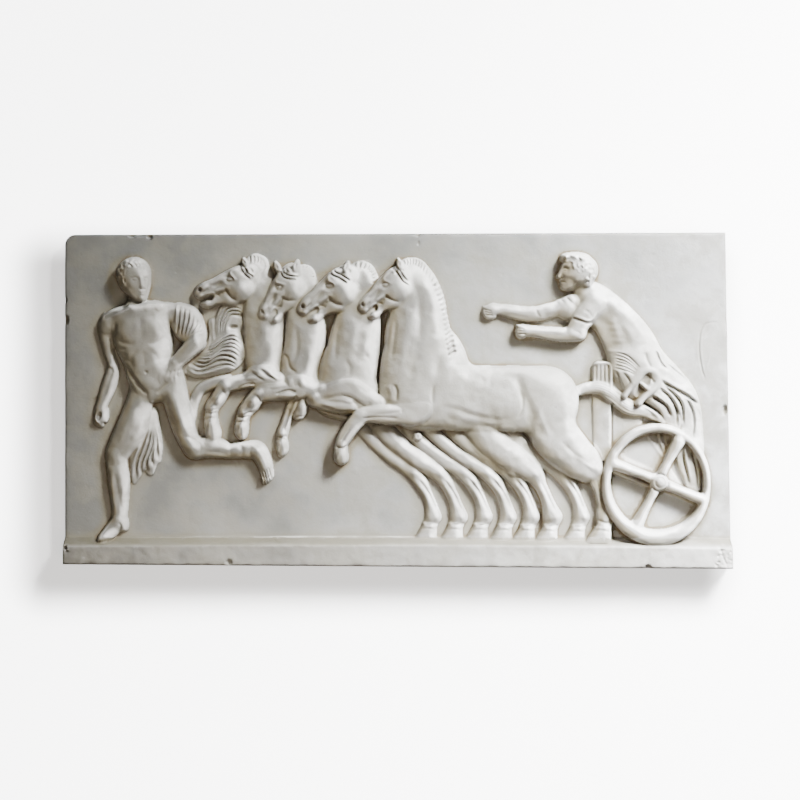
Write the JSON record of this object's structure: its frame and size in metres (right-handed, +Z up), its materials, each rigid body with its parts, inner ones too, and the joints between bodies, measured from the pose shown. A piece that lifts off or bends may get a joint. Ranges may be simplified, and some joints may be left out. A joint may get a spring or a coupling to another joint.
{
  "type": "plaster relief plaque",
  "caption": "Rectangular plaster relief with a flat back: a team of horses draws a chariot and its driver, a running figure goes ahead, and all stand on a projecting ledge.",
  "frame": {"origin": "middle of the flat back, halfway along the plaque and halfway up it", "axes": "+X along the plaque towards the chariot, +Y out of the back into the wall, +Z up; the relief faces -Y"},
  "size_m": [1.1961, 0.0824, 0.602],
  "materials": {
    "aged_plaster": "matte, worn and slightly polished on the high parts, with brown dirt in the hollows"
  },
  "bodies": {
    "root": {"plaster_relief_plaque": "aged_plaster"}
  },
  "joints": []
}
